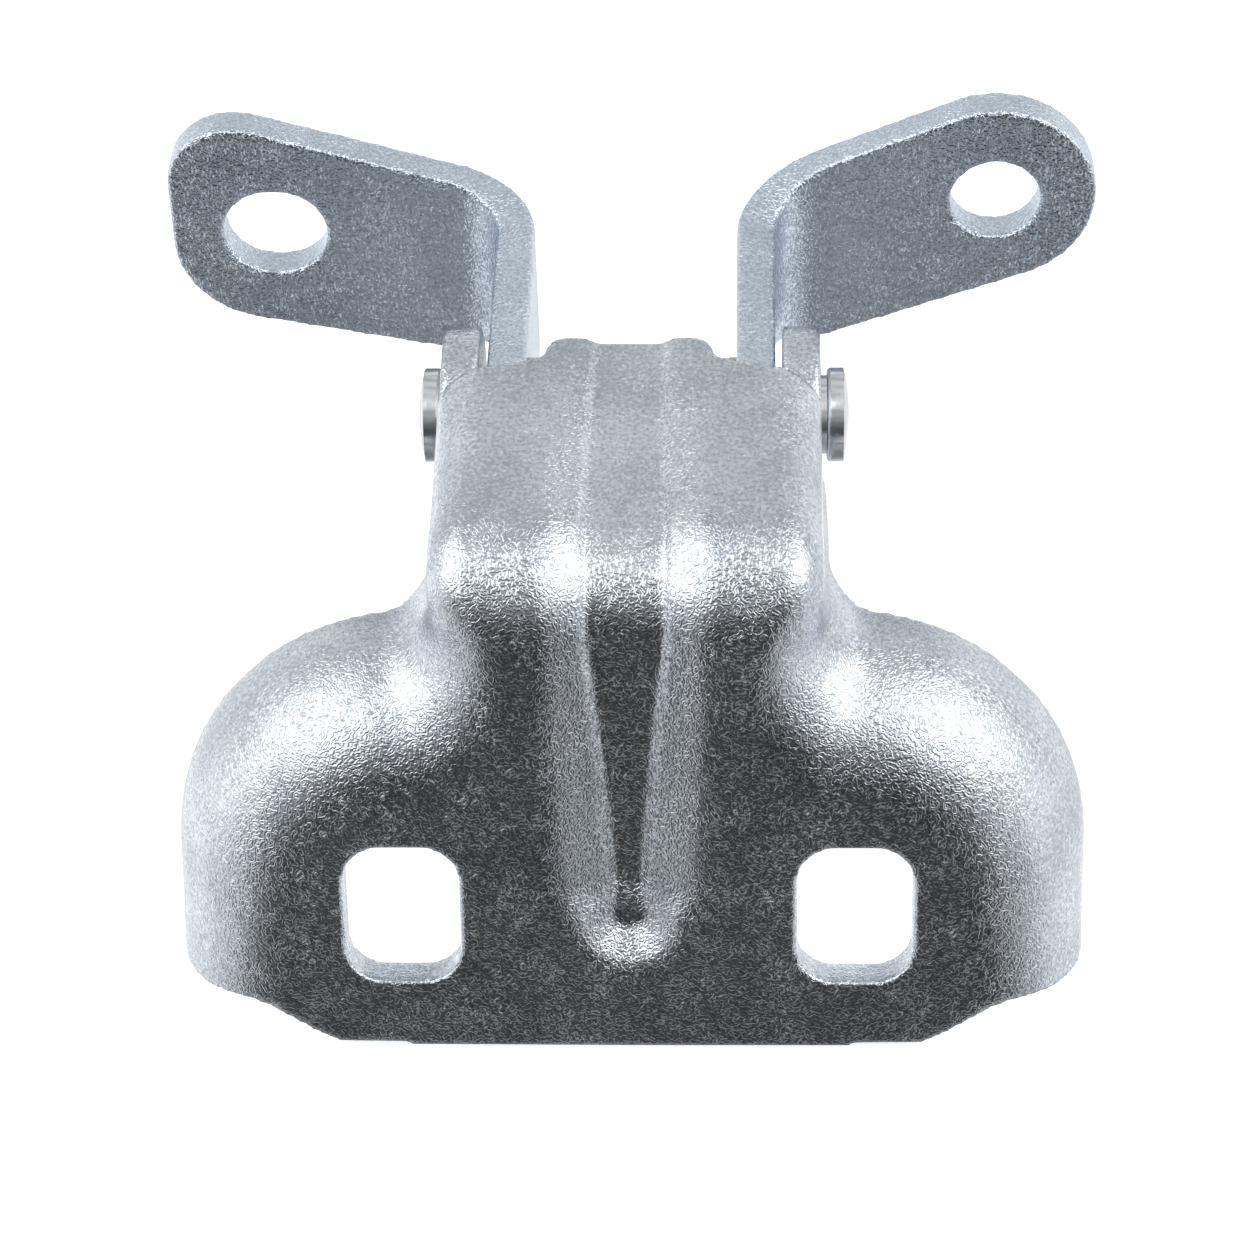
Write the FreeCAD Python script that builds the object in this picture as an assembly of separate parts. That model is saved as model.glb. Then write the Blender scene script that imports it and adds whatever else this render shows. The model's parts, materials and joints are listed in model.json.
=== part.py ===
import FreeCAD
import Part
import math
import os

# Car door hinge: a drawn steel bracket that bolts to the body pillar, and a folded steel leaf
# that bolts to the door. The leaf turns on a riveted pin between the two ears of the bracket.
#
# The part's own frame is that of the bracket's mounting face. The origin lies on that face,
# midway between the two bolt slots. X runs along the pin, Y runs from the mounting face into
# the hinge, and Z points up the face towards the pin. Lengths are millimetres.

Vector = FreeCAD.Vector

# Bracket: sheet and fold
sheet = 4.5
fold_height = 44.7
fold_lean = 70.0
fold_radius = 15.0

# Bracket: outline of the mounting face
base_width = 106.2
shoulder_radius = 28.5
shoulder_gap = 13.6
neck_width = 44.5
neck_corner = 7.0
wall_depth = 17.0
wall_sweep = 6.0

# Bracket: radius of the drawn edge, from the foot of the side wall up to the neck
edge_at_foot = 11.0
edge_at_side = 15.0
edge_at_shoulder = 16.5
edge_at_neck = 7.5
edge_at_web_end = 5.3

# Bracket: foot, bowed in the middle and stepped up to the side walls
foot_drop = 18.1
foot_bow = 0.8
foot_half = 34.2
foot_corner = 6.0
foot_angle = 32.0
foot_sweep = 9.0
wall_drop = 11.6

# Bracket: bolt slots
slot_spacing = 52.0
slot_width = 13.2
slot_height = 17.5
slot_corner = 4.2

# Bracket: pressed groove, from the tongue down to its bowl between the slots
tongue_groove_half = 9.8
tongue_groove_floor = 8.0
tongue_groove_depth = 0.9
fold_groove_half = 11.3
fold_groove_floor = 9.4
fold_groove_depth = 2.6
groove_lip_run = 3.6
groove_step = 0.7
groove_step_run = 0.25
floor_end_height = 3.1
floor_end_half = 10.2
floor_end_width = 3.6
floor_end_depth = 3.7
bowl_height = -0.9
bowl_half = 7.6
bowl_lip_run = 2.8
bowl_depth = 2.7
bowl_step = 0.15

# Bracket: ears, tongue and the end of the web, measured along the web from the fold
pin_reach = 38.5
pin_drop = 14.1
eye_radius = 10.5
ear_root = 31.0
tongue_reach = 37.4
tongue_width = 19.6
tongue_corner = 3.0
web_reach_tongue = 34.0
web_reach_ear = 32.0
notch_corner = 1.0

# Hinge pin
pin_diameter = 9.4
pin_ear_clearance = 0.04
head_diameter = 11.2
head_height = 2.1
head_dome = 0.65
head_edge = 0.5
left_head_gap = 0.25
right_head_gap = 0.75

# Door leaf
leaf_sheet = 4.6
leaf_angle = 15.0
leaf_fold = 5.8
ear_gap = 0.8
leg_eye = 8.5
leg_top = 8.0
leg_bottom = -11.5
tab_reach = 32.0
bridge_near = 3.5
bridge_far = 14.5
bridge_drop = 12.5
bridge_fold = 6.0
bridge_inner_fold = 1.0

# Door leaf: left tab
left_tab_side = 58.0
left_tab_top = 10.8
left_tab_top_slope = 17.2
left_tab_bottom = -15.3
left_tab_bottom_slope = 11.7
left_tab_top_corner = 8.5
left_tab_bottom_corner = 12.0
left_hole_x = 45.1
left_hole_z = 3.25
left_hole_width = 12.8
left_hole_height = 12.0

# Door leaf: right tab
right_hole_x = 44.1
right_hole_z = 7.9
right_hole_diameter = 11.0
right_end_x = 43.9
right_end_z = 8.35
right_end_radius = 12.6
right_tab_top = 12.8
right_tab_bottom = -13.3

# Bushes
bush_wall = 0.95
bush_flange_diameter = 13.7
bush_flange = 1.2
bush_flange_edge = 0.4
bush_pin_clearance = 0.05
bush_ear_clearance = 0.15

# Values that follow from the driving dimensions
base_half = base_width / 2
neck_half = neck_width / 2
lean = math.radians(fold_lean)
along_web = Vector(0, math.sin(lean), math.cos(lean))
out_of_web = Vector(0, -math.cos(lean), math.sin(lean))
fold_line = Vector(0, 0, fold_height)
fold_centre = Vector(0, fold_radius, fold_height - fold_radius * math.tan(lean / 2))
pin_centre = fold_line + along_web * pin_reach - out_of_web * pin_drop
pin_radius = pin_diameter / 2
leg_outer = neck_half - sheet - ear_gap
leg_inner = leg_outer - leaf_sheet
bush_bore = pin_radius + bush_pin_clearance
bush_outer = bush_bore + bush_wall
fold_root = leg_outer + leaf_fold
pan_foot = -foot_drop - sheet
far = 150.0
margin = 1.0


def unit(angle):
    """Unit vector in the XZ plane at an angle in radians from +X."""
    return Vector(math.cos(angle), 0, math.sin(angle))


def line(start, end):
    return Part.LineSegment(start, end).toShape()


def arc(start, middle, end):
    return Part.Arc(start, middle, end).toShape()


def arc_about(centre, radius, first, last):
    """Arc in the XZ plane between two angles in radians."""
    middle = (first + last) / 2
    return arc(centre + unit(first) * radius, centre + unit(middle) * radius, centre + unit(last) * radius)


def rounded_face(corners, right, up, origin=Vector(0, 0, 0)):
    """Face with the given corners, each (u, v, radius), in the plane of the right and up vectors."""
    points = [origin + right * u + up * v for u, v, radius in corners]
    starts = []
    ends = []
    middles = []
    for i, corner in enumerate(corners):
        point = points[i]
        back = (points[i - 1] - point).normalize()
        ahead = (points[(i + 1) % len(points)] - point).normalize()
        half = back.getAngle(ahead) / 2
        cut = corner[2] / math.tan(half)
        starts.append(point + back * cut)
        ends.append(point + ahead * cut)
        inward = (back + ahead).normalize()
        middles.append(point + inward * (corner[2] / math.sin(half) - corner[2]))
    edges = []
    for i, corner in enumerate(corners):
        if corner[2] > 0:
            edges.append(arc(starts[i], middles[i], ends[i]))
        after = (i + 1) % len(corners)
        if ends[i].distanceToPoint(starts[after]) > 1e-6:
            edges.append(line(ends[i], starts[after]))
    return Part.Face(Part.Wire(edges))


def rod(radius, start, end):
    """Round bar along X about the pin's axis."""
    return Part.makeCylinder(radius, end - start, pin_centre + Vector(start, 0, 0), Vector(1, 0, 0))


def both_sides(shape):
    """The shape joined with its mirror image across the middle plane."""
    return shape.fuse(shape.mirror(Vector(0, 0, 0), Vector(1, 0, 0))).removeSplitter()


# Bracket


def behind_skin(inset):
    """Everything behind the bracket's front skin, moved inwards by the inset."""
    radius = fold_radius - inset
    foot = Vector(0, inset, pan_foot)
    fold_start = Vector(0, inset, fold_centre.z)
    fold_middle = fold_centre + Vector(0, -math.cos(lean / 2), math.sin(lean / 2)) * radius
    fold_end = fold_centre + out_of_web * radius
    web_turn = fold_line + along_web * web_reach_ear - out_of_web * inset
    web_end = fold_line + along_web * (pin_reach + 2 * eye_radius) - out_of_web * inset
    rear_top = Vector(0, 2 * far, web_end.z)
    rear_foot = Vector(0, 2 * far, pan_foot)
    edges = [
        line(foot, fold_start),
        arc(fold_start, fold_middle, fold_end),
        line(fold_end, web_turn),
        line(web_turn, web_end),
        line(web_end, rear_top),
        line(rear_top, rear_foot),
        line(rear_foot, foot),
    ]
    return Part.Face(Part.Wire(edges)).extrude(Vector(far, 0, 0))


def outline_values(inset):
    """Half width, arc radii and arc centres of the right half of the bracket's outline."""
    side = base_half - inset
    neck = neck_half - inset
    shoulder = shoulder_radius - inset
    corner = neck_corner + inset
    shoulder_centre = Vector(base_half - shoulder_radius, 0, fold_height - shoulder_gap - shoulder_radius)
    corner_x = neck + corner
    rise = math.sqrt((shoulder + corner) ** 2 - (corner_x - shoulder_centre.x) ** 2)
    corner_centre = Vector(corner_x, 0, shoulder_centre.z + rise)
    return side, neck, shoulder, corner, shoulder_centre, corner_centre


def inside_outline(inset):
    """Everything inside the right half of the outline: side, shoulder, inner corner and neck."""
    side, neck, shoulder, corner, shoulder_centre, corner_centre = outline_values(inset)
    toward = corner_centre - shoulder_centre
    meet = math.atan2(toward.z, toward.x)
    edges = [
        line(Vector(side, 0, pan_foot), Vector(side, 0, shoulder_centre.z)),
        arc_about(shoulder_centre, shoulder, 0, meet / 2),
        arc_about(shoulder_centre, shoulder, meet / 2, meet),
        arc_about(corner_centre, corner, meet - math.pi, -math.pi),
        line(Vector(neck, 0, corner_centre.z), Vector(neck, 0, far)),
        line(Vector(neck, 0, far), Vector(0, 0, far)),
        line(Vector(0, 0, far), Vector(0, 0, pan_foot)),
        line(Vector(0, 0, pan_foot), Vector(side, 0, pan_foot)),
    ]
    face = Part.Face(Part.Wire(edges))
    face.translate(Vector(0, -far, 0))
    return face.extrude(Vector(0, 3 * far, 0))


def on_skin(point, inset):
    """Whether a point lies on the bracket's front skin."""
    if point.z <= fold_centre.z:
        return abs(point.y - inset) < 1e-3
    reach = point - fold_centre
    radius = fold_radius - inset
    if reach.dot(along_web) > 0:
        return abs(reach.dot(out_of_web) - radius) < 1e-3
    return abs(math.hypot(reach.y, reach.z) - radius) < 1e-3


def on_wall(point, inset):
    """Whether a point lies on the wall that follows the bracket's outline."""
    side, neck, shoulder, corner, shoulder_centre, corner_centre = outline_values(inset)
    if point.z <= shoulder_centre.z:
        return abs(point.x - side) < 1e-3
    if point.z >= corner_centre.z:
        return abs(point.x - neck) < 1e-3
    to_shoulder = math.hypot(point.x - shoulder_centre.x, point.z - shoulder_centre.z)
    to_corner = math.hypot(point.x - corner_centre.x, point.z - corner_centre.z)
    return min(abs(to_shoulder - shoulder), abs(to_corner - corner)) < 1e-3


def is_drawn_edge(edge, inset):
    """Whether an edge runs between the front skin and the wall."""
    span = edge.LastParameter - edge.FirstParameter
    for share in (0.3, 0.5):
        point = edge.valueAt(edge.FirstParameter + share * span)
        if not (on_skin(point, inset) and on_wall(point, inset)):
            return False
    return True


def mix(first, last, share):
    share = min(max(share, 0.0), 1.0)
    return first + (last - first) * share


def edge_radius(height, inset):
    """Radius of the drawn edge at a height: it grows up the side and shrinks up the neck."""
    side, neck, shoulder, corner, shoulder_centre, corner_centre = outline_values(inset)
    meet = (corner_centre - shoulder_centre).normalize()
    web_turn = fold_line + along_web * web_reach_ear - out_of_web * inset
    levels = [
        (pan_foot, edge_at_foot),
        (shoulder_centre.z, edge_at_side),
        (shoulder_centre.z + shoulder / 2, edge_at_shoulder),
        (shoulder_centre.z + shoulder * meet.z, edge_at_shoulder),
        (corner_centre.z, edge_at_neck),
        (web_turn.z, edge_at_web_end),
    ]
    for (low, first), (high, last) in zip(levels, levels[1:]):
        if height <= high:
            return mix(first, last, (height - low) / (high - low)) - inset
    return edge_at_web_end - inset


def round_drawn_edge(body, inset):
    """The body with its drawn edge rounded, the radius changing along it."""
    numbers = {}
    for number, edge in enumerate(body.Edges, 1):
        if is_drawn_edge(edge, inset):
            numbers[number] = edge
    low = min(numbers, key=lambda number: numbers[number].BoundBox.ZMin)
    first = numbers[low]
    upward = first.valueAt(first.LastParameter).z > first.valueAt(first.FirstParameter).z
    rows = []
    here = Vector(base_half - inset, inset, pan_foot)
    while numbers:
        number = min(numbers, key=lambda n: min(v.Point.distanceToPoint(here) for v in numbers[n].Vertexes))
        ends = [vertex.Point for vertex in numbers.pop(number).Vertexes]
        there = max(ends, key=lambda point: point.distanceToPoint(here))
        radii = (edge_radius(here.z, inset), edge_radius(there.z, inset))
        rows.append((number,) + (radii if upward else radii[::-1]))
        here = there
    document = FreeCAD.newDocument("rounding")
    plain = document.addObject("Part::Feature", "plain")
    plain.Shape = body
    fillet = document.addObject("Part::Fillet", "fillet")
    fillet.Base = plain
    fillet.Edges = rows
    document.recompute()
    shape = fillet.Shape.copy()
    FreeCAD.closeDocument(document.Name)
    return shape


def pan(inset):
    """Solid form of the drawn bracket, its skin and walls moved inwards by the inset."""
    sharp = behind_skin(inset).common(inside_outline(inset))
    return both_sides(round_drawn_edge(sharp, inset))


def groove_section(half, floor, depth, lip_run, step, origin, into):
    """Closed section of the groove: rounded lips, straight slopes and a crisp sunk floor."""
    inner = floor / 2 + groove_step_run
    fall = depth - step
    tilt = math.atan2(fall, half - inner - lip_run / 2)
    lip_fall = math.tan(tilt) * lip_run / 2

    def at(u, v):
        return origin + Vector(u, 0, 0) + into * v

    def side(sign):
        knee = at(sign * (half - lip_run), lip_fall)
        brink = at(sign * inner, fall)
        lip = arc(at(sign * half, 0), at(sign * (half - lip_run / 2), lip_fall / 4), knee)
        return [lip, line(knee, brink), line(brink, at(sign * floor / 2, depth))]

    edges = side(1) + side(-1)
    edges += [
        line(at(-half, -margin), at(-half, 0)),
        line(at(-floor / 2, depth), at(floor / 2, depth)),
        line(at(half, 0), at(half, -margin)),
        line(at(half, -margin), at(-half, -margin)),
    ]
    return Part.Wire(Part.__sortEdges__(edges))


def groove_tools(inset):
    """Cutters of the pressed groove: along the web, round the fold, down the face, and its bowl."""
    down = Vector(0, 1, 0)
    edge = (groove_lip_run, groove_step)
    web_top = fold_line + along_web * (tongue_reach + sheet) - out_of_web * inset
    web_foot = fold_centre + out_of_web * (fold_radius - inset)
    fold_foot = Vector(0, inset, fold_centre.z)
    at_tongue = (tongue_groove_half, tongue_groove_floor, tongue_groove_depth)
    at_fold = (fold_groove_half, fold_groove_floor, fold_groove_depth)
    fold_section = groove_section(*at_fold, *edge, fold_foot, down)
    web_sections = [
        groove_section(*at_tongue, *edge, web_top, -out_of_web),
        groove_section(*at_fold, *edge, web_foot, -out_of_web),
    ]
    web = Part.makeLoft(web_sections, True, True)
    fold = Part.Face(fold_section).revolve(fold_centre, Vector(-1, 0, 0), fold_lean)
    face_sections = [fold_section]
    for share in (1 / 3, 2 / 3, 1):
        place = Vector(0, inset, mix(fold_centre.z, floor_end_height, share))
        half = mix(fold_groove_half, floor_end_half, share ** 2)
        floor = mix(fold_groove_floor, floor_end_width, share ** 0.8)
        depth = mix(fold_groove_depth, floor_end_depth, share)
        face_sections.append(groove_section(half, floor, depth, *edge, place, down))
    face = Part.makeLoft(face_sections, True, False)
    bowl_place = Vector(0, inset, bowl_height)
    bowl_size = (bowl_half, floor_end_width, bowl_depth, bowl_lip_run, bowl_step)
    bowl_section = groove_section(*bowl_size, bowl_place, down)
    end = Part.makeLoft([face_sections[-1], bowl_section], True, True)
    right_half = Part.makeBox(far, 2 * far, far, Vector(0, -far, bowl_height - far / 2))
    bowl_face = Part.Face(bowl_section).common(right_half)
    bowl = bowl_face.revolve(bowl_place, down, 360)
    return [web, fold, face, end, bowl]


def foot_cutter():
    """Everything below the sheared lower edge: bowed in the middle, stepped up to the side walls."""
    low = foot_bow - foot_drop
    step_end = foot_half + (wall_drop + low) / -math.tan(math.radians(foot_angle))
    corners = [
        (-far, -far, 0),
        (far, -far, 0),
        (far, -wall_drop, 0),
        (step_end, -wall_drop, foot_sweep),
        (foot_half, low, foot_corner),
        (0, -foot_drop, foot_half ** 2 / (2 * foot_bow)),
        (-foot_half, low, foot_corner),
        (-step_end, -wall_drop, foot_sweep),
        (-far, -wall_drop, 0),
    ]
    face = rounded_face(corners, Vector(1, 0, 0), Vector(0, 0, 1), Vector(0, -far, 0))
    return face.extrude(Vector(0, 3 * far, 0))


def side_keeper():
    """Side view of what stays: the walls down to their depth, and the ears round the pin."""
    root = Vector(0, wall_depth, ear_root)
    to_pin = pin_centre - root
    bearing = math.atan2(to_pin.z, to_pin.y) - math.asin(eye_radius / to_pin.Length)
    touch = pin_centre + Vector(0, math.sin(bearing), -math.cos(bearing)) * eye_radius
    tip = pin_centre + along_web * eye_radius
    between = (touch - pin_centre).normalize() + along_web
    top = tip + out_of_web * far
    edges = [
        line(Vector(0, -far, -far), Vector(0, wall_depth, -far)),
        line(Vector(0, wall_depth, -far), root),
        line(root, touch),
        arc(touch, pin_centre + between.normalize() * eye_radius, tip),
        line(tip, top),
        line(top, Vector(0, -far, top.z)),
        line(Vector(0, -far, top.z), Vector(0, -far, -far)),
    ]
    face = Part.Face(Part.Wire(edges))
    face.translate(Vector(-far, 0, 0))
    return face.extrude(Vector(2 * far, 0, 0))


def shoulder_trim():
    """Cutter behind the right shoulder, swept round into the ear."""
    inner = neck_half + margin
    corners = [
        (inner, 2 * far, 0),
        (inner, wall_depth, wall_sweep),
        (far, wall_depth, 0),
        (far, 2 * far, 0),
    ]
    face = rounded_face(corners, Vector(1, 0, 0), Vector(0, 1, 0), Vector(0, 0, -far))
    return face.extrude(Vector(0, 0, 2 * far))


def web_end_cutter():
    """Everything past the end of the web, apart from the tongue and the eyes of the ears."""
    half = tongue_width / 2
    slant = (web_reach_tongue - web_reach_ear) / (neck_half - sheet - half)
    outer = web_reach_tongue - slant * (far - half)
    corners = [
        (-far, outer, 0),
        (-half, web_reach_tongue, notch_corner),
        (-half, tongue_reach, tongue_corner),
        (half, tongue_reach, tongue_corner),
        (half, web_reach_tongue, notch_corner),
        (far, outer, 0),
        (far, far, 0),
        (-far, far, 0),
    ]
    level = fold_line - out_of_web * pin_drop
    face = rounded_face(corners, Vector(1, 0, 0), along_web, level)
    ear = neck_half - sheet
    return face.extrude(out_of_web * far).cut([rod(eye_radius, -far, -ear), rod(eye_radius, ear, far)])


def slot_cutter(x):
    half_x = slot_width / 2
    half_z = slot_height / 2
    corners = [
        (x - half_x, -half_z, slot_corner),
        (x + half_x, -half_z, slot_corner),
        (x + half_x, half_z, slot_corner),
        (x - half_x, half_z, slot_corner),
    ]
    face = rounded_face(corners, Vector(1, 0, 0), Vector(0, 0, 1), Vector(0, -far, 0))
    return face.extrude(Vector(0, 2 * far, 0))


def door_bracket():
    """The drawn bracket, one sheet thick everywhere."""
    outer = pan(0)
    inner = pan(sheet)
    for tool in groove_tools(0):
        outer = outer.cut(tool)
    for tool in groove_tools(sheet):
        inner = inner.cut(tool)
    body = outer.cut(inner)
    body = body.common(side_keeper())
    trim = shoulder_trim()
    cutters = [foot_cutter(), web_end_cutter(), trim, trim.mirror(Vector(0, 0, 0), Vector(1, 0, 0))]
    cutters += [slot_cutter(-slot_spacing / 2), slot_cutter(slot_spacing / 2)]
    cutters.append(rod(pin_radius + pin_ear_clearance, -far, far))
    for cutter in cutters:
        body = body.cut(cutter)
    return body


# Hinge pin


def hinge_pin():
    """Shank through both ears, with a headed rivet at each end."""
    left_face = -(neck_half + left_head_gap)
    right_face = neck_half + right_head_gap
    shank = rod(pin_radius, left_face - head_height / 2, right_face + head_height / 2)
    return shank.fuse([rivet_head(left_face, -1), rivet_head(right_face, 1)]).removeSplitter()


def rivet_head(face_x, sign):
    """Spun head: bevelled on the ear side, sharp at the rim, with a shallow dome."""
    radius = head_diameter / 2

    def at(x, r):
        return Vector(face_x + sign * x, 0, r)

    dome_radius = (radius ** 2 + head_dome ** 2) / (2 * head_dome)
    dome_middle_x = head_height + head_dome - (dome_radius - math.sqrt(dome_radius ** 2 - (radius / 2) ** 2))
    edges = [
        line(at(0, 0), at(0, radius - head_edge)),
        line(at(0, radius - head_edge), at(head_edge, radius)),
        line(at(head_edge, radius), at(head_height, radius)),
        arc(at(head_height, radius), at(dome_middle_x, radius / 2), at(head_height + head_dome, 0)),
        line(at(head_height + head_dome, 0), at(0, 0)),
    ]
    head = Part.Face(Part.Wire(edges)).revolve(Vector(0, 0, 0), Vector(1, 0, 0), 360)
    head.translate(pin_centre)
    return head


# Door leaf, drawn in its own frame: X as above, Y from the pin to the tabs, Z across them


def in_place(shape):
    """Turns a shape of the leaf's frame to the leaf's angle and moves it to the pin."""
    placed = shape.copy()
    placed.rotate(Vector(0, 0, 0), Vector(1, 0, 0), leaf_angle)
    placed.translate(pin_centre)
    return placed


def tangent_angle(point, centre, radius, side):
    """Angle on a circle at which the line from a point touches it, on the chosen side."""
    away = point - centre
    return math.atan2(away.z, away.x) + side * math.acos(radius / away.Length)


def folded_band():
    """Leg, fold and tab in plan, one sheet thick, tall enough for any outline."""
    centre = Vector(fold_root, tab_reach - leaf_fold, 0)
    outer = leaf_fold + leaf_sheet
    corner = math.sqrt(0.5)

    def at(x, y):
        return Vector(x, y, -far)

    edges = [
        line(at(leg_inner, -far), at(leg_inner, centre.y)),
        arc(
            at(leg_inner, centre.y),
            at(centre.x - outer * corner, centre.y + outer * corner),
            at(centre.x, centre.y + outer),
        ),
        line(at(centre.x, centre.y + outer), at(far, centre.y + outer)),
        line(at(far, centre.y + outer), at(far, tab_reach)),
        line(at(far, tab_reach), at(centre.x, tab_reach)),
        arc(
            at(centre.x, tab_reach),
            at(centre.x - leaf_fold * corner, centre.y + leaf_fold * corner),
            at(leg_outer, centre.y),
        ),
        line(at(leg_outer, centre.y), at(leg_outer, -far)),
        line(at(leg_outer, -far), at(leg_inner, -far)),
    ]
    return Part.Face(Part.Wire(edges)).extrude(Vector(0, 0, 2 * far))


def leg_outline():
    """Side view of a leg: a round eye at the pin, and straight edges to the fold and past it."""
    fold_start = tab_reach - leaf_fold
    origin = Vector(0, 0, 0)
    upper = Vector(fold_start, 0, leg_top)
    lower = Vector(fold_start, 0, leg_bottom)
    first = tangent_angle(upper, origin, leg_eye, 1)
    last = tangent_angle(lower, origin, leg_eye, -1)
    middle = (first + last + 2 * math.pi) / 2
    edges = [
        arc(unit(first) * leg_eye, unit(middle) * leg_eye, unit(last) * leg_eye),
        line(unit(last) * leg_eye, lower),
        line(lower, upper),
        line(upper, unit(first) * leg_eye),
    ]
    face = Part.Face(Part.Wire(edges))
    face.rotate(origin, Vector(0, 0, 1), 90)
    return face.extrude(Vector(fold_root, 0, 0))


def fold_trim(leg_edge, tab_edge, sign):
    """Cutter over or under the fold: the sheet's edge climbs from the leg to the tab as it turns."""
    centre = Vector(fold_root, tab_reach - leaf_fold, 0)
    sections = []
    for share in (0, 1 / 3, 2 / 3, 1):
        turn = share * math.pi / 2
        outward = Vector(-math.cos(turn), math.sin(turn), 0)
        edge = Vector(0, 0, mix(leg_edge, tab_edge, share ** 1.5))
        beyond = Vector(0, 0, sign * far)
        near = centre + outward * margin
        out = centre + outward * (leaf_fold + 2 * leaf_sheet)
        sections.append(Part.makePolygon([near + edge, out + edge, out + beyond, near + beyond, near + edge]))
    return Part.makeLoft(sections, True, False)


def tab_prism(face, top, bottom):
    """The outline of a fold and its tab, made deep enough to take in the sheet."""
    face.translate(Vector(0, tab_reach - leaf_fold, 0))
    prism = face.extrude(Vector(0, leaf_fold + 2 * leaf_sheet, 0))
    return prism.cut([fold_trim(leg_top, top, 1), fold_trim(leg_bottom, bottom, -1)])


def left_tab():
    """Outline of the left fold and tab, drawn on the right side."""
    width = left_tab_side - fold_root
    top = left_tab_top + width * math.tan(math.radians(left_tab_top_slope))
    bottom = left_tab_bottom + width * math.tan(math.radians(left_tab_bottom_slope))
    corners = [
        (leg_inner - margin, left_tab_bottom, 0),
        (fold_root, left_tab_bottom, 0),
        (left_tab_side, bottom, left_tab_bottom_corner),
        (left_tab_side, top, left_tab_top_corner),
        (fold_root, left_tab_top, 0),
        (leg_inner - margin, left_tab_top, 0),
    ]
    face = rounded_face(corners, Vector(1, 0, 0), Vector(0, 0, 1))
    return tab_prism(face, left_tab_top, left_tab_bottom)


def right_tab():
    """Outline of the right fold and tab, round about its hole."""
    centre = Vector(right_end_x, 0, right_end_z)
    upper = Vector(fold_root, 0, right_tab_top)
    lower = Vector(fold_root, 0, right_tab_bottom)
    first = tangent_angle(lower, centre, right_end_radius, 1)
    last = tangent_angle(upper, centre, right_end_radius, -1)
    if first > last:
        first -= 2 * math.pi
    inside = leg_inner - margin
    path = [upper, Vector(inside, 0, right_tab_top), Vector(inside, 0, right_tab_bottom), lower]
    edges = [line(start, end) for start, end in zip(path, path[1:])]
    edges.append(line(lower, centre + unit(first) * right_end_radius))
    edges.append(arc_about(centre, right_end_radius, first, last))
    edges.append(line(centre + unit(last) * right_end_radius, upper))
    return tab_prism(Part.Face(Part.Wire(edges)), right_tab_top, right_tab_bottom)


def left_hole():
    """Oblong hole of the left tab, drawn on the right side."""
    radius = left_hole_height / 2
    shift = left_hole_width / 2 - radius
    hole = Part.makeBox(2 * shift, far, 2 * radius, Vector(left_hole_x - shift, 0, left_hole_z - radius))
    for x in (left_hole_x - shift, left_hole_x + shift):
        hole = hole.fuse(Part.makeCylinder(radius, far, Vector(x, 0, left_hole_z), Vector(0, 1, 0)))
    return hole


def right_hole():
    place = Vector(right_hole_x, 0, right_hole_z)
    return Part.makeCylinder(right_hole_diameter / 2, far, place, Vector(0, 1, 0))


def bridge():
    """The web under the pin that joins the two legs into one folded piece."""
    floor = leaf_sheet - bridge_drop
    corners = [
        (-leg_outer, -leaf_sheet, 0),
        (-leg_outer, -bridge_drop, bridge_fold),
        (leg_outer, -bridge_drop, bridge_fold),
        (leg_outer, -leaf_sheet, 0),
        (leg_inner, -leaf_sheet, 0),
        (leg_inner, floor, bridge_inner_fold),
        (-leg_inner, floor, bridge_inner_fold),
        (-leg_inner, -leaf_sheet, 0),
    ]
    face = rounded_face(corners, Vector(1, 0, 0), Vector(0, 0, 1), Vector(0, bridge_near, 0))
    return face.extrude(Vector(0, bridge_far - bridge_near, 0))


def body_leaf():
    """The folded leaf: two legs, the bridge between them and the two tabs."""
    band = folded_band()
    right = band.common(leg_outline().fuse(right_tab()))
    left = band.common(leg_outline().fuse(left_tab()))
    right = right.cut(right_hole())
    left = left.cut(left_hole()).mirror(Vector(0, 0, 0), Vector(1, 0, 0))
    leaf = right.fuse([left, bridge()]).removeSplitter()
    bore = Part.makeCylinder(bush_outer, 2 * far, Vector(-far, 0, 0), Vector(1, 0, 0))
    return in_place(leaf.cut(bore))


# Bushes


def bush(sign):
    """Flanged bush, pressed into a leg from inside and standing proud towards the ear."""
    flange_radius = bush_flange_diameter / 2
    outer_end = leg_outer + ear_gap - bush_ear_clearance
    inner_end = leg_inner - bush_flange

    def at(x, r):
        return Vector(sign * x, 0, r)

    bevel_start = at(inner_end, flange_radius - bush_flange_edge)
    bevel_end = at(inner_end + bush_flange_edge, flange_radius)
    edges = [
        line(at(inner_end, bush_bore), bevel_start),
        line(bevel_start, bevel_end),
        line(bevel_end, at(leg_inner, flange_radius)),
        line(at(leg_inner, flange_radius), at(leg_inner, bush_outer)),
        line(at(leg_inner, bush_outer), at(outer_end, bush_outer)),
        line(at(outer_end, bush_outer), at(outer_end, bush_bore)),
        line(at(outer_end, bush_bore), at(inner_end, bush_bore)),
    ]
    return in_place(Part.Face(Part.Wire(edges)).revolve(Vector(0, 0, 0), Vector(1, 0, 0), 360))


def main():
    pieces = {
        "door_bracket": door_bracket(),
        "hinge_pin": hinge_pin(),
        "body_leaf": body_leaf(),
        "left_bush": bush(-1),
        "right_bush": bush(1),
    }
    os.makedirs("parts", exist_ok=True)
    for name, shape in pieces.items():
        solid = shape.Solids[0] if len(shape.Solids) == 1 else shape
        solid.exportStep("parts/" + name + ".step")
        print(name, "solids", len(shape.Solids), "valid", shape.isValid(), "volume", round(shape.Volume, 1))


main()
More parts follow.
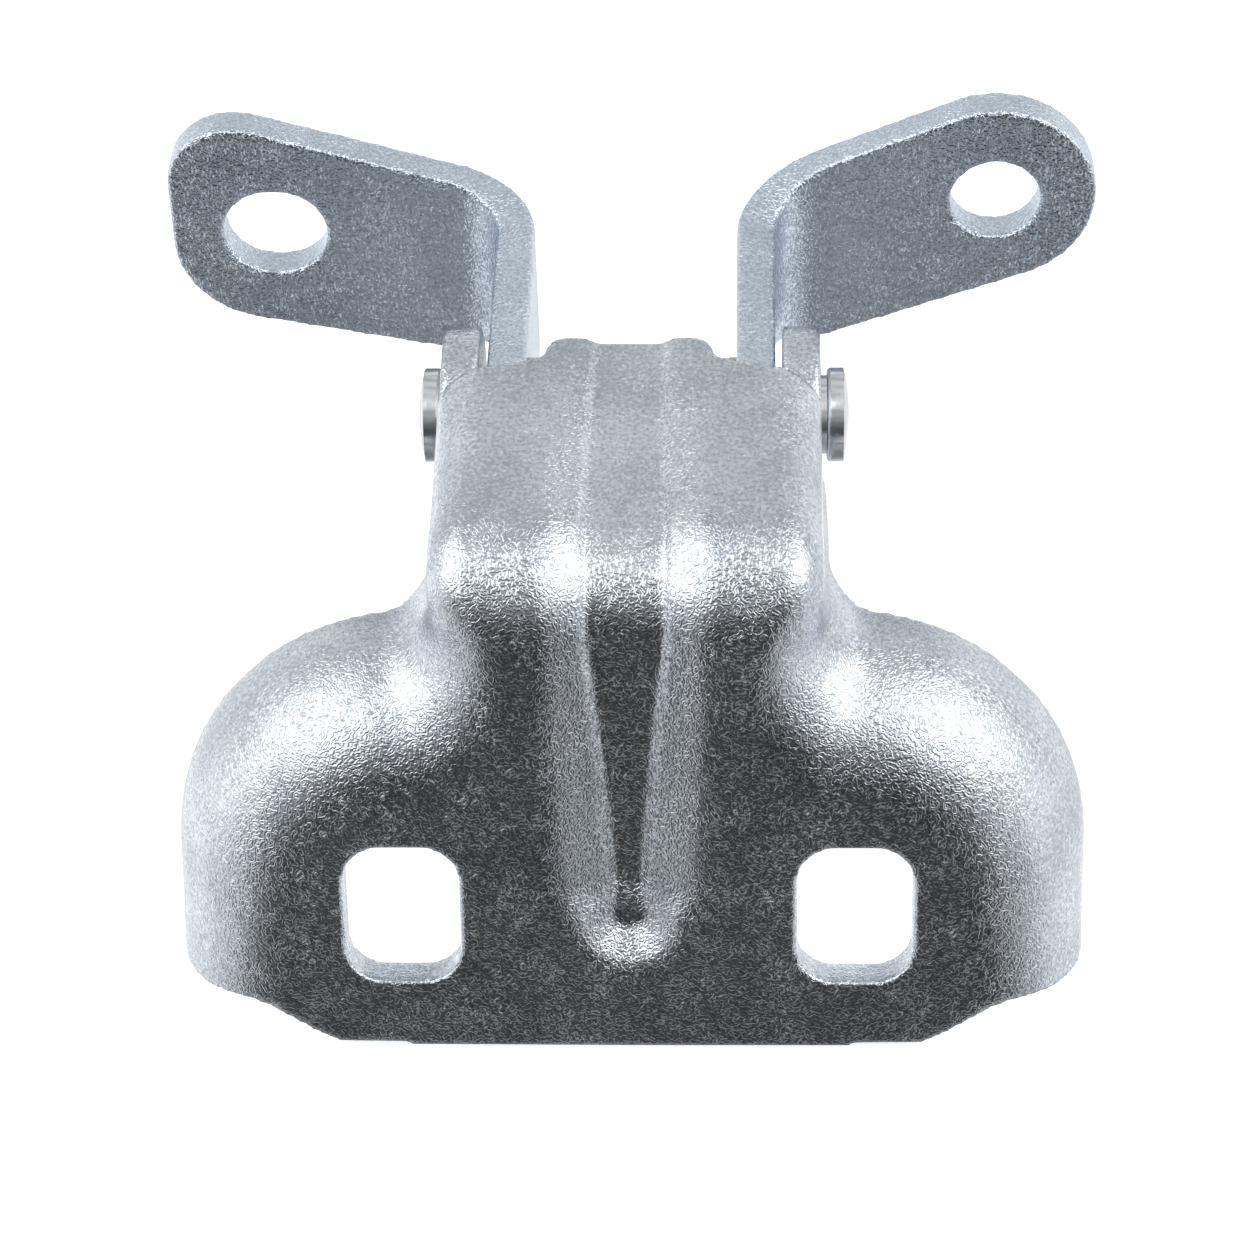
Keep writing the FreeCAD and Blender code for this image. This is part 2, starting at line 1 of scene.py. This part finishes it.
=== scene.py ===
# %% [markdown]
# # A car door hinge
#
# This scene dresses a car door hinge: a bracket pressed from thick steel sheet, a folded leaf with
# two bolt tabs, and the riveted pin that they turn on. All of it is plated with bright zinc. The
# shapes come from the CAD model, in metres, and Blender adds the surfaces, the light and the camera.

import json
import math

import bmesh
import bpy
from mathutils import Matrix, Vector


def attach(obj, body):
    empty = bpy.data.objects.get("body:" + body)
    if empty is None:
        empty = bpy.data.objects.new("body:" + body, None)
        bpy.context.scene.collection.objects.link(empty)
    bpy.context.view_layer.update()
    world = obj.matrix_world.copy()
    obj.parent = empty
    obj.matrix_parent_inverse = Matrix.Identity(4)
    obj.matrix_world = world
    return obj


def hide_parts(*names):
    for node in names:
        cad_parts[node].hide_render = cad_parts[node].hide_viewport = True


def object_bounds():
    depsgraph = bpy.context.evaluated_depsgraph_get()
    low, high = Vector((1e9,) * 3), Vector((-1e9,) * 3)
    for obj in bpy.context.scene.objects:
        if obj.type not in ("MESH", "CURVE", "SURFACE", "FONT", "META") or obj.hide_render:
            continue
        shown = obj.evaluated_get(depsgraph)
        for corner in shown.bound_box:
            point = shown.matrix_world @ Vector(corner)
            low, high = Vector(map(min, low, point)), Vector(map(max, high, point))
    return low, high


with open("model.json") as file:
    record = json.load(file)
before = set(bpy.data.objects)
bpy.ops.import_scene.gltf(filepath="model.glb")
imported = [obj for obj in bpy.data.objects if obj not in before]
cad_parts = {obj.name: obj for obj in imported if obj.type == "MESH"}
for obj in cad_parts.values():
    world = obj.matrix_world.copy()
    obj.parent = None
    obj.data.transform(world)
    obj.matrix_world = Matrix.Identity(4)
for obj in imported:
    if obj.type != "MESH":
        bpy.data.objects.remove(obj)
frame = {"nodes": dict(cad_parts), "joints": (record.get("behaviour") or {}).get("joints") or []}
cad_low, cad_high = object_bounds()
print("CAD box", [round(v, 4) for v in cad_low], [round(v, 4) for v in cad_high])

# %% [markdown]
# ## Small helpers for materials
#
# A material is a tree of nodes. A few helpers keep the trees short: they add a node and set its
# values, join an output to an input, stretch one range of values to another, and multiply. The
# patterns all read Object coordinates, because each piece sits at the origin unturned, so one
# millimetre of pattern is one millimetre of metal on every piece.

# %% Node helpers
MM = 0.001


def add_node(tree, kind, **values):
    node = tree.nodes.new(kind)
    for name, value in values.items():
        if name in node.inputs:
            node.inputs[name].default_value = value
        else:
            setattr(node, name, value)
    return node


def join(tree, source, output, target, entry):
    tree.links.new(source.outputs[output], target.inputs[entry])


def spread(tree, source, output, low, high, first, last):
    """Goes evenly from first to last while the input goes from low to high."""
    node = add_node(tree, "ShaderNodeMapRange")
    node.inputs["From Min"].default_value = low
    node.inputs["From Max"].default_value = high
    node.inputs["To Min"].default_value = first
    node.inputs["To Max"].default_value = last
    join(tree, source, output, node, "Value")
    return node


def product(tree, one, one_output, other, other_output):
    node = add_node(tree, "ShaderNodeMath", operation="MULTIPLY")
    join(tree, one, one_output, node, 0)
    join(tree, other, other_output, node, 1)
    return node


def new_material(name):
    material = bpy.data.materials.new(name)
    material.use_nodes = True
    tree = material.node_tree
    shader = tree.nodes["Principled BSDF"]
    place = add_node(tree, "ShaderNodeTexCoord")
    return material, tree, shader, place


print("helpers ready")

# %% [markdown]
# ## The zinc on the bracket
#
# Deep drawing stretches the sheet, and the stretched grain shows as a fine pebbled skin, like the
# peel of an orange. Electroplated zinc covers it without filling it. The skin could be modelled
# as real bumps, but they are only some hundredths of a millimetre high, so a bump map is the right
# tool: short crooked ridges about one millimetre long, over a slower waviness of the whole sheet.
# The plating itself is a pale bluish metal. Its colour wanders in broad clouds and in flecks of
# about half a millimetre, and its roughness wanders a little too.

# %% Zinc for drawn and folded sheet
RIDGES_PER_BLOB = 5.0
PATCH_SIZE = 5.0 * MM
GRAIN_SIZE = 0.3 * MM
WAVE_SIZE = 7.0 * MM
WAVE_DEPTH = 0.05 * MM
CLOUD_SIZE = 12.0 * MM
FLECK_SIZE = 0.45 * MM
FLECK_SHARE = 0.6
GLOSS_SWING = 0.05


def noise(tree, vector, output, size, detail=2.0):
    """Noise whose blobs are about the given size, and its value between 0 and 1."""
    node = add_node(tree, "ShaderNodeTexNoise", Scale=1 / size, Detail=detail)
    join(tree, vector, output, node, "Vector")
    return node


def tilt(tree, height, output, depth, before=None):
    """Bump of the given depth, on top of the one before it."""
    node = add_node(tree, "ShaderNodeBump", Strength=1.0, Distance=depth)
    join(tree, height, output, node, "Height")
    if before:
        join(tree, before, "Normal", node, "Normal")
    return node


def wrinkles(tree, place, size, periods):
    """Short crooked ridges: the contour lines of a smooth noise, rounded by a sine."""
    relief = noise(tree, place, "Object", size, 1.0)
    wound = add_node(tree, "ShaderNodeMath", operation="MULTIPLY")
    wound.inputs[1].default_value = 2 * math.pi * periods
    join(tree, relief, 0, wound, 0)
    ridge = add_node(tree, "ShaderNodeMath", operation="SINE")
    join(tree, wound, "Value", ridge, 0)
    return ridge


def zinc(name, pale, dark, roughness, wrinkle_size, wrinkle_depth, grain_depth):
    material, tree, shader, place = new_material(name)
    shader.inputs["Metallic"].default_value = 1.0

    ridge = wrinkles(tree, place, wrinkle_size, RIDGES_PER_BLOB)
    patches = noise(tree, place, "Object", PATCH_SIZE)
    strength = spread(tree, patches, 0, 0.3, 0.7, 0.55, 1.0)
    uneven = product(tree, ridge, "Value", strength, "Result")
    grain = noise(tree, place, "Object", GRAIN_SIZE, 3.0)
    sheet_wave = noise(tree, place, "Object", WAVE_SIZE, 1.0)

    slow = tilt(tree, sheet_wave, 0, WAVE_DEPTH)
    peel = tilt(tree, uneven, "Value", wrinkle_depth, slow)
    fine = tilt(tree, grain, 0, grain_depth, peel)
    join(tree, fine, "Normal", shader, "Normal")

    cloud = noise(tree, place, "Object", CLOUD_SIZE, 4.0)
    fleck = noise(tree, place, "Object", FLECK_SIZE, 2.0)
    mixed = add_node(tree, "ShaderNodeMix", data_type="FLOAT")
    mixed.inputs[0].default_value = FLECK_SHARE
    join(tree, cloud, 0, mixed, 2)
    join(tree, fleck, 0, mixed, 3)
    tint = add_node(tree, "ShaderNodeValToRGB")
    tint.color_ramp.elements[0].position = 0.4
    tint.color_ramp.elements[0].color = (*dark, 1)
    tint.color_ramp.elements[1].position = 0.6
    tint.color_ramp.elements[1].color = (*pale, 1)
    join(tree, mixed, 0, tint, "Fac")
    join(tree, tint, "Color", shader, "Base Color")

    gloss = spread(tree, grain, 0, 0.35, 0.65, roughness - GLOSS_SWING, roughness + GLOSS_SWING)
    join(tree, gloss, "Result", shader, "Roughness")
    return material


bracket_zinc = zinc(
    "bracket zinc", (0.75, 0.78, 0.82), (0.50, 0.53, 0.57), 0.16, 0.85 * MM, 0.021 * MM, 0.02 * MM
)
leaf_zinc = zinc(
    "leaf zinc", (0.73, 0.79, 0.87), (0.55, 0.61, 0.69), 0.19, 0.85 * MM, 0.036 * MM, 0.02 * MM
)
print("zinc:", bracket_zinc.name, leaf_zinc.name)

# %% [markdown]
# ## The pin and its bushes
#
# The pin is turned from bar and its ends are spun over cold, which leaves fine rings round the
# axis. Rings need no texture: the distance from the pin's axis, read from Object coordinates, is
# fed to a wave, and the wave tilts the surface very slightly. The bushes are plain bronze, rolled
# from strip, with a soft satin surface.

# %% Turned steel and bronze
joint = frame["joints"][0]
pin_centre = Vector(joint["pos_m"])


def turned(name, color, roughness, ring_width, ring_depth):
    material, tree, shader, place = new_material(name)
    shader.inputs["Metallic"].default_value = 1.0
    shader.inputs["Base Color"].default_value = (*color, 1)
    centre = add_node(tree, "ShaderNodeMapping")
    centre.inputs["Location"].default_value = -pin_centre
    join(tree, place, "Object", centre, "Vector")
    split = add_node(tree, "ShaderNodeSeparateXYZ")
    join(tree, centre, "Vector", split, "Vector")
    flat = add_node(tree, "ShaderNodeCombineXYZ")
    join(tree, split, "Y", flat, "Y")
    join(tree, split, "Z", flat, "Z")
    reach = add_node(tree, "ShaderNodeVectorMath", operation="LENGTH")
    join(tree, flat, "Vector", reach, 0)
    line = add_node(tree, "ShaderNodeCombineXYZ")
    join(tree, reach, "Value", line, "X")
    join(tree, split, "X", line, "Y")
    rings = noise(tree, line, "Vector", ring_width)
    groove = tilt(tree, rings, 0, ring_depth)
    join(tree, groove, "Normal", shader, "Normal")
    cloud = noise(tree, place, "Object", 2.0 * MM, 4.0)
    gloss = spread(tree, cloud, 0, 0.0, 1.0, roughness - 0.08, roughness + 0.08)
    join(tree, gloss, "Result", shader, "Roughness")
    return material


pin_steel = turned("pin steel", (0.76, 0.77, 0.78), 0.2, 0.25 * MM, 0.008 * MM)
bush_bronze = turned("bush bronze", (0.45, 0.33, 0.19), 0.38, 0.3 * MM, 0.006 * MM)
print("turned:", pin_steel.name, bush_bronze.name)

# %% [markdown]
# ## Soft skins over the pressed pieces
#
# A CAD solid has perfectly sharp edges, but a pressed and plated sheet has none: the die rolls
# each edge over a little and the plating rounds the rest. The edges could be bevelled one by one,
# but the drawn bracket has hundreds of short ones. Remeshing does all of them alike: the merged
# solid is filled with small cubes, a new even skin is laid over them, and a few passes of
# smoothing round every edge by about the width of a cube. The cube is as small as it can be while
# the piece stays under 200,000 triangles. The solids keep their own meshes for
# collision and are only hidden.

# %% Merge, remesh and smooth
def merged_copy(node, name):
    build = bmesh.new()
    build.from_mesh(frame["nodes"][node].data)
    bmesh.ops.remove_doubles(build, verts=build.verts, dist=0.002 * MM)
    mesh = bpy.data.meshes.new(name)
    build.to_mesh(mesh)
    build.free()
    mesh.materials.clear()
    piece = bpy.data.objects.new(name, mesh)
    bpy.context.scene.collection.objects.link(piece)
    return piece


def plain_mesh(piece, name):
    """Swaps the piece's mesh for what its modifiers make of it, and removes them."""
    bpy.context.view_layer.update()
    graph = bpy.context.evaluated_depsgraph_get()
    mesh = bpy.data.meshes.new_from_object(piece.evaluated_get(graph))
    mesh.name = name
    piece.modifiers.clear()
    piece.data = mesh
    return mesh


def pressed_piece(node, name, body, material, cube, passes):
    piece = merged_copy(node, name)
    skin = piece.modifiers.new("even skin", "REMESH")
    skin.mode = "VOXEL"
    skin.voxel_size = cube
    soften = piece.modifiers.new("rolled edges", "SMOOTH")
    soften.factor = 0.5
    soften.iterations = passes
    mesh = plain_mesh(piece, name)
    mesh.shade_smooth()
    mesh.materials.clear()
    mesh.materials.append(material)
    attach(piece, body)
    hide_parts(node)
    print(name, "triangles", sum(len(f.vertices) - 2 for f in mesh.polygons))
    return piece


BRACKET_CUBE = 0.5 * MM
LEAF_CUBE = 0.35 * MM
pressed_piece(
    "door_bracket", "drawn_bracket", "bracket", bracket_zinc, BRACKET_CUBE, 4
)
pressed_piece("body_leaf", "folded_leaf", "leaf", leaf_zinc, LEAF_CUBE, 9)

# %% [markdown]
# ## Turned pieces
#
# The pin and the two bushes are round about one axis, so each is one profile spun round it. A
# lathe works in the same way, and so does a small Geometry Nodes tree: it lays a grid whose one
# side counts the points of the profile and whose other side goes once round, and moves each grid
# point to its place. One tree serves all three pieces, and the number of segments is an input.

# %% The lathe tree
def lathe_tree():
    tree = bpy.data.node_groups.new("lathe", "GeometryNodeTree")
    tree.interface.new_socket("Profile", in_out="INPUT", socket_type="NodeSocketGeometry")
    segments = tree.interface.new_socket("Segments", in_out="INPUT", socket_type="NodeSocketInt")
    segments.default_value = 64
    tree.interface.new_socket("Metal", in_out="INPUT", socket_type="NodeSocketMaterial")
    tree.interface.new_socket("Piece", in_out="OUTPUT", socket_type="NodeSocketGeometry")
    start = add_node(tree, "NodeGroupInput")
    end = add_node(tree, "NodeGroupOutput")

    size = add_node(tree, "GeometryNodeAttributeDomainSize", component="MESH")
    join(tree, start, "Profile", size, "Geometry")
    rows = add_node(tree, "ShaderNodeMath", operation="ADD")
    rows.inputs[1].default_value = 1.0
    join(tree, start, "Segments", rows, 0)
    grid = add_node(tree, "GeometryNodeMeshGrid")
    grid.inputs["Size X"].default_value = 1.0
    grid.inputs["Size Y"].default_value = 1.0
    join(tree, size, "Point Count", grid, "Vertices X")
    join(tree, rows, "Value", grid, "Vertices Y")

    place = add_node(tree, "GeometryNodeInputPosition")
    split = add_node(tree, "ShaderNodeSeparateXYZ")
    join(tree, place, "Position", split, "Vector")
    last = add_node(tree, "ShaderNodeMath", operation="SUBTRACT")
    last.inputs[1].default_value = 1.0
    join(tree, size, "Point Count", last, 0)
    along = add_node(tree, "ShaderNodeMath", operation="ADD")
    along.inputs[1].default_value = 0.5
    join(tree, split, "X", along, 0)
    number = add_node(tree, "ShaderNodeMath", operation="MULTIPLY")
    join(tree, along, "Value", number, 0)
    join(tree, last, "Value", number, 1)
    whole = add_node(tree, "ShaderNodeMath", operation="ROUND")
    join(tree, number, "Value", whole, 0)
    sample = add_node(tree, "GeometryNodeSampleIndex", data_type="FLOAT_VECTOR", domain="POINT")
    join(tree, start, "Profile", sample, "Geometry")
    join(tree, place, "Position", sample, "Value")
    join(tree, whole, "Value", sample, "Index")
    point = add_node(tree, "ShaderNodeSeparateXYZ")
    join(tree, sample, "Value", point, "Vector")

    angle = add_node(tree, "ShaderNodeMath", operation="MULTIPLY")
    angle.inputs[1].default_value = 2 * math.pi
    join(tree, split, "Y", angle, 0)
    moved = add_node(tree, "ShaderNodeCombineXYZ")
    join(tree, point, "X", moved, "X")
    for axis, function in (("Y", "SINE"), ("Z", "COSINE")):
        wave = add_node(tree, "ShaderNodeMath", operation=function)
        join(tree, angle, "Value", wave, 0)
        swing = add_node(tree, "ShaderNodeMath", operation="MULTIPLY")
        join(tree, wave, "Value", swing, 0)
        join(tree, point, "Z", swing, 1)
        join(tree, swing, "Value", moved, axis)

    shape = add_node(tree, "GeometryNodeSetPosition")
    join(tree, grid, "Mesh", shape, "Geometry")
    join(tree, moved, "Vector", shape, "Position")
    close = add_node(tree, "GeometryNodeMergeByDistance")
    close.inputs["Distance"].default_value = 0.0005 * MM
    join(tree, shape, "Geometry", close, "Geometry")
    real = add_node(tree, "GeometryNodeRealizeInstances")
    join(tree, close, "Geometry", real, "Geometry")
    coat = add_node(tree, "GeometryNodeSetMaterial")
    join(tree, real, "Geometry", coat, "Geometry")
    join(tree, start, "Metal", coat, "Material")
    join(tree, coat, "Geometry", end, "Piece")
    return tree


lathe = lathe_tree()
print("lathe nodes", len(lathe.nodes))

# %% [markdown]
# ### Profiles
#
# A profile is a row of points, each a distance along the pin and a distance out from it. Sharp
# corners are listed as they are, and rounded corners and the dome of a head come from a rule, so
# that they can be made finer or coarser in one place.

# %% Profile of the pin
PIN_RADIUS = 4.7 * MM
HEAD_RADIUS = 5.6 * MM
HEAD_HEIGHT = 2.1 * MM
HEAD_DOME = 0.65 * MM
HEAD_EDGE = 0.5 * MM
RIM = 0.12 * MM
EAR_FACE = 22.25 * MM
LEFT_GAP = 0.25 * MM
RIGHT_GAP = 0.75 * MM


def head_profile(face):
    """From the shank out over the head to the tip of its dome."""
    points = [(face, PIN_RADIUS), (face, HEAD_RADIUS - HEAD_EDGE)]
    for step in range(1, 5):
        turn = step / 4 * math.pi / 2
        along = HEAD_EDGE * (1 - math.cos(turn))
        inward = HEAD_EDGE * (1 - math.sin(turn))
        points.append((face + along, HEAD_RADIUS - inward))
    points.append((face + HEAD_HEIGHT - RIM, HEAD_RADIUS))
    points.append((face + HEAD_HEIGHT, HEAD_RADIUS - RIM))
    for step in range(1, 9):
        share = step / 8
        reach = (HEAD_RADIUS - RIM) * (1 - share)
        lift = HEAD_DOME * (1 - (reach / (HEAD_RADIUS - RIM)) ** 2)
        points.append((face + HEAD_HEIGHT + lift, reach))
    return points


right_end = head_profile(EAR_FACE + RIGHT_GAP)
left_end = [(-x, r) for x, r in reversed(head_profile(EAR_FACE + LEFT_GAP))]
pin_profile = left_end + right_end
print("pin profile points", len(pin_profile))

# %% Profile of a bush
BUSH_BORE = 4.75 * MM
BUSH_OUTSIDE = 5.7 * MM
FLANGE_RADIUS = 6.85 * MM
FLANGE_THICKNESS = 1.2 * MM
FLANGE_EDGE = 0.4 * MM
LEG_INSIDE = 12.35 * MM
BUSH_END = 17.6 * MM

bush_profile = [
    (LEG_INSIDE - FLANGE_THICKNESS, BUSH_BORE),
    (LEG_INSIDE - FLANGE_THICKNESS, FLANGE_RADIUS - FLANGE_EDGE),
    (LEG_INSIDE - FLANGE_THICKNESS + 0.3 * FLANGE_EDGE, FLANGE_RADIUS - 0.3 * FLANGE_EDGE),
    (LEG_INSIDE - FLANGE_THICKNESS + FLANGE_EDGE, FLANGE_RADIUS),
    (LEG_INSIDE, FLANGE_RADIUS),
    (LEG_INSIDE, BUSH_OUTSIDE),
    (BUSH_END, BUSH_OUTSIDE),
    (BUSH_END, BUSH_BORE),
    (LEG_INSIDE - FLANGE_THICKNESS, BUSH_BORE),
]
print("bush profile points", len(bush_profile))

# %% Spin the profiles
SEGMENTS = 96


def input_key(tree, name):
    """A modifier names its inputs by identifier, so this finds the identifier of a name."""
    for socket in tree.interface.items_tree:
        if socket.item_type == "SOCKET" and socket.in_out == "INPUT" and socket.name == name:
            return socket.identifier


def turned_piece(name, profile, side, node, body, metal):
    mesh = bpy.data.meshes.new(name)
    points = [(side * x, 0, r) for x, r in profile]
    mesh.from_pydata(points, [(i, i + 1) for i in range(len(points) - 1)], [])
    piece = bpy.data.objects.new(name, mesh)
    bpy.context.scene.collection.objects.link(piece)
    spin = piece.modifiers.new("lathe", "NODES")
    spin.node_group = lathe
    spin[input_key(lathe, "Segments")] = SEGMENTS
    spin[input_key(lathe, "Metal")] = metal
    mesh = plain_mesh(piece, name)
    build = bmesh.new()
    build.from_mesh(mesh)
    bmesh.ops.dissolve_degenerate(build, edges=build.edges, dist=0.0005 * MM)
    bmesh.ops.recalc_face_normals(build, faces=build.faces)
    build.to_mesh(mesh)
    build.free()
    mesh.transform(Matrix.Translation(pin_centre))
    mesh.shade_smooth()
    mesh.set_sharp_from_angle(angle=math.radians(35))
    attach(piece, body)
    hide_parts(node)
    print(name, "faces", len(mesh.polygons))
    return piece


turned_piece("riveted_pin", pin_profile, 1, "hinge_pin", "bracket", pin_steel)
for side, hand in ((-1, "left"), (1, "right")):
    ring, node = hand + "_bush_ring", hand + "_bush"
    turned_piece(ring, bush_profile, side, node, "leaf", bush_bronze)

# %% [markdown]
# ## Floor and background
#
# A wide pale floor catches a faint shadow. Product pictures of this kind are shot against pure
# white, so the floor glows a little for the camera only, which lifts it to white without adding
# any light to the metal. The floor is also left out of reflections. With it, the faces that look
# down would turn nearly white, and in the picture they are grey.

# %% Floor
def floor_material():
    material, tree, shader, place = new_material("studio floor")
    tree.nodes.remove(shader)
    paint = add_node(tree, "ShaderNodeBsdfDiffuse")
    paint.inputs["Color"].default_value = (0.84, 0.84, 0.85, 1)
    glow = add_node(tree, "ShaderNodeEmission")
    glow.inputs["Color"].default_value = (1, 1, 1, 1)
    path = add_node(tree, "ShaderNodeLightPath")
    share = add_node(tree, "ShaderNodeMath", operation="MULTIPLY")
    share.inputs[1].default_value = 0.65
    join(tree, path, "Is Camera Ray", share, 0)
    join(tree, share, "Value", glow, "Strength")
    both = add_node(tree, "ShaderNodeAddShader")
    join(tree, paint, "BSDF", both, 0)
    join(tree, glow, "Emission", both, 1)
    join(tree, both, "Shader", tree.nodes["Material Output"], "Surface")
    return material


def flat_sheet(name, corners, material):
    mesh = bpy.data.meshes.new(name)
    mesh.from_pydata(corners, [], [(0, 1, 2, 3)])
    mesh.materials.append(material)
    sheet = bpy.data.objects.new(name, mesh)
    bpy.context.scene.collection.objects.link(sheet)
    return sheet


ground = cad_low.z - 0.05 * MM
reach = 4.0
floor = flat_sheet(
    "floor",
    [(-reach, -reach, ground), (reach, -reach, ground), (reach, reach, ground), (-reach, reach, ground)],
    floor_material(),
)
floor.visible_glossy = False
print("floor at", round(ground, 5))

# %% [markdown]
# ## Light
#
# Two large softboxes stand in front, one at each side and above the lens, and make the broad
# highlights on the shoulders and the fold. A lamp's energy is worked out from how bright its face
# should be, where 1 is white.

# %% Softboxes
def softbox(name, place, target, width, height, level):
    """level is the brightness of the box's face, where 1 is white."""
    data = bpy.data.lights.new(name, "AREA")
    data.shape = "RECTANGLE"
    data.size = width
    data.size_y = height
    data.energy = level * math.pi * width * height
    lamp = bpy.data.objects.new(name, data)
    lamp.location = place
    lamp.rotation_euler = (Vector(target) - Vector(place)).to_track_quat("-Z", "Y").to_euler()
    bpy.context.scene.collection.objects.link(lamp)
    return lamp


middle = (0, 0.02, 0.03)
lamps = [
    softbox("left softbox", (-0.72, -0.50, 0.70), middle, 1.30, 1.05, 1.05),
    softbox("right softbox", (0.72, -0.50, 0.70), middle, 1.30, 1.05, 1.05),
]
print("lamps", [lamp.name for lamp in lamps])

# %% [markdown]
# ## The room
#
# Polished metal shows whatever stands round it. The flat face of the base looks deep grey because
# it mirrors the dark place in front of and below the lens, where nobody has put a light. The rest
# of the room is soft and pale, and palest at the two sides. It could be built from cards, but the
# edge of a card shows as a hard line in metal. Here it is one smooth function of the direction in
# which a ray leaves. The camera itself sees plain white.

# %% Room by direction
def band(tree, source, output, low, high, first, last):
    """Goes smoothly from first to last while the input goes from low to high."""
    node = add_node(tree, "ShaderNodeMapRange", interpolation_type="SMOOTHSTEP")
    node.inputs["From Min"].default_value = low
    node.inputs["From Max"].default_value = high
    node.inputs["To Min"].default_value = first
    node.inputs["To Max"].default_value = last
    join(tree, source, output, node, "Value")
    return node


def blend(tree, level, share, other):
    """Goes from a level towards a fixed one by a share between 0 and 1."""
    node = add_node(tree, "ShaderNodeMix", data_type="FLOAT")
    join(tree, share, "Result", node, 0)
    join(tree, level, 0, node, 2)
    node.inputs[3].default_value = other
    return node


world = bpy.data.worlds.new("room")
world.use_nodes = True
bpy.context.scene.world = world
tree = world.node_tree
backdrop = tree.nodes["Background"]
direction = add_node(tree, "ShaderNodeTexCoord")
way = add_node(tree, "ShaderNodeSeparateXYZ")
join(tree, direction, "Generated", way, "Vector")

low = band(tree, way, "Y", -0.86, 0.22, 0.06, 1.1)
down = band(tree, way, "Z", -1.05, -0.6, 1.0, 0.0)
beneath = blend(tree, low, down, 0.25)
up = band(tree, way, "Z", -0.3, 0.95, 0.0, 1.0)
above = blend(tree, beneath, up, 0.68)

# The walls of the room in front, left and right of the lens, are paler than its middle.
width = add_node(tree, "ShaderNodeMath", operation="ABSOLUTE")
join(tree, way, "X", width, 0)
beside = band(tree, width, "Value", 0.25, 0.8, 0.0, 1.0)
raised = band(tree, way, "Z", -0.5, 0.0, 0.25, 1.0)
front = band(tree, way, "Y", -0.4, 0.2, 1.0, 0.0)
upper = product(tree, beside, "Result", raised, "Result")
walls = product(tree, upper, "Value", front, "Result")
level = add_node(tree, "ShaderNodeMath", operation="MULTIPLY_ADD")
level.inputs[1].default_value = 0.4
join(tree, walls, "Value", level, 0)
join(tree, above, 0, level, 2)

# A real room is never quite even: soft patches make the fine wrinkles of the zinc visible.
patch = add_node(tree, "ShaderNodeTexNoise", Scale=5.0, Detail=2.0)
join(tree, direction, "Generated", patch, "Vector")
uneven = band(tree, patch, 0, 0.3, 0.7, 0.6, 1.4)
room = product(tree, level, 0, uneven, "Result")
path = add_node(tree, "ShaderNodeLightPath")
shown = add_node(tree, "ShaderNodeMix", data_type="FLOAT")
join(tree, path, "Is Camera Ray", shown, 0)
join(tree, room, 0, shown, 2)
shown.inputs[3].default_value = 1.0
join(tree, shown, 0, backdrop, "Strength")
tone = add_node(tree, "ShaderNodeMix", data_type="RGBA")
tone.inputs[6].default_value = (0.95, 0.98, 1.0, 1)
tone.inputs[7].default_value = (1.0, 1.0, 1.0, 1)
join(tree, path, "Is Camera Ray", tone, 0)
tree.links.new(tone.outputs[2], backdrop.inputs["Color"])
print("room nodes", len(tree.nodes))

# %% [markdown]
# ## Camera
#
# The picture was taken with a long lens from a little to the right, 27 degrees above the table.
# The camera's place and lens were found by fitting the CAD model's corners to the picture. Its own
# axes are written out: one to the right, one up and one back towards the camera.

# %% Camera
camera_data = bpy.data.cameras.new("camera")
camera_data.sensor_width = 36.0
camera_data.lens = 115.2
camera = bpy.data.objects.new("camera", camera_data)
pitch = math.radians(27.0)
swing = math.radians(1.767)
aside = Vector((1, 0, 0))
upward = Vector((0, math.sin(pitch), math.cos(pitch)))
back = Vector((0, -math.cos(pitch), math.sin(pitch)))
camera_right = aside * math.cos(swing) - back * math.sin(swing)
camera_back = back * math.cos(swing) + aside * math.sin(swing)
turn = Matrix((camera_right, upward, camera_back)).transposed()
camera.rotation_euler = turn.to_euler()
camera.location = back * 0.460 + aside * 0.01405 + upward * 0.0332
camera_data.clip_start = 0.01
camera_data.clip_end = 20.0
bpy.context.scene.collection.objects.link(camera)
bpy.context.scene.camera = camera
bpy.context.scene.view_settings.view_transform = "Standard"
print("camera at", [round(v, 4) for v in camera.location])
